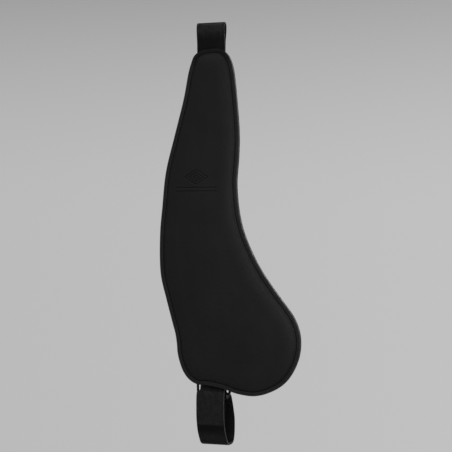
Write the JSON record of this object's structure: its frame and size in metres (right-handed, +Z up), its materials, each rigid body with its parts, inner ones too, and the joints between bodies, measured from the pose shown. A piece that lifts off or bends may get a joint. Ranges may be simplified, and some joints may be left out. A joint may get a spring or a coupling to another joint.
{
  "type": "padded saddle fender",
  "caption": "Padded leather saddle fender with a hanging loop at the top and a buckled strap loop for the stirrup below.",
  "frame": {"origin": "inside the top loop's tunnel, where the saddle's stirrup bar passes", "axes": "+Z up, -Y the outer face, +Y towards the horse, +X to the right seen from outside"},
  "size_m": [0.2275, 0.0588, 0.6498],
  "materials": {
    "face_leather": "matte black, fine grain",
    "lining_leather": "matte black, nap",
    "strap_leather": "satin black bridle leather",
    "foam": "closed-cell foam",
    "black_metal": "dark satin",
    "rivet_metal": "dark satin"
  },
  "bodies": {
    "fender": {"face_panel": "face_leather", "padding": "foam", "lining_panel": "lining_leather", "main_strap": "strap_leather", "upper_rivet_left": "rivet_metal", "upper_rivet_burr_left": "rivet_metal", "upper_rivet_right": "rivet_metal", "upper_rivet_burr_right": "rivet_metal", "lower_rivet_left": "rivet_metal", "lower_rivet_burr_left": "rivet_metal", "lower_rivet_right": "rivet_metal", "lower_rivet_burr_right": "rivet_metal"},
    "stirrup_loop": {"stirrup_strap": "strap_leather", "buckle_chape": "strap_leather", "fixed_keeper": "strap_leather"},
    "loose_keeper": {"sliding_keeper": "strap_leather"},
    "buckle": {"buckle_frame": "black_metal"},
    "roller": {"buckle_roller": "black_metal"},
    "tongue": {"buckle_tongue": "black_metal"}
  },
  "joints": [
    {"name": "strap_swing", "type": "hinge", "parent": "fender", "child": "stirrup_loop", "pos_m": [0, -0.00465, -0.444], "axis": [1, 0, 0], "range_deg": [0, 50]},
    {"name": "keeper_slide", "type": "slide", "parent": "stirrup_loop", "child": "loose_keeper", "axis": [0, 0, 1], "range_m": [-0.005, 0.012]},
    {"name": "buckle_pivot", "type": "hinge", "parent": "stirrup_loop", "child": "buckle", "pos_m": [0, 0.0053, -0.532], "axis": [1, 0, 0], "range_deg": [0, 3]},
    {"name": "tongue_pivot", "type": "hinge", "parent": "buckle", "child": "tongue", "pos_m": [0, 0.0053, -0.532], "axis": [1, 0, 0], "range_deg": [0, 5]},
    {"name": "roller_spin", "type": "hinge", "parent": "buckle", "child": "roller", "pos_m": [0, 0.0083, -0.563], "axis": [1, 0, 0], "continuous": true}
  ]
}
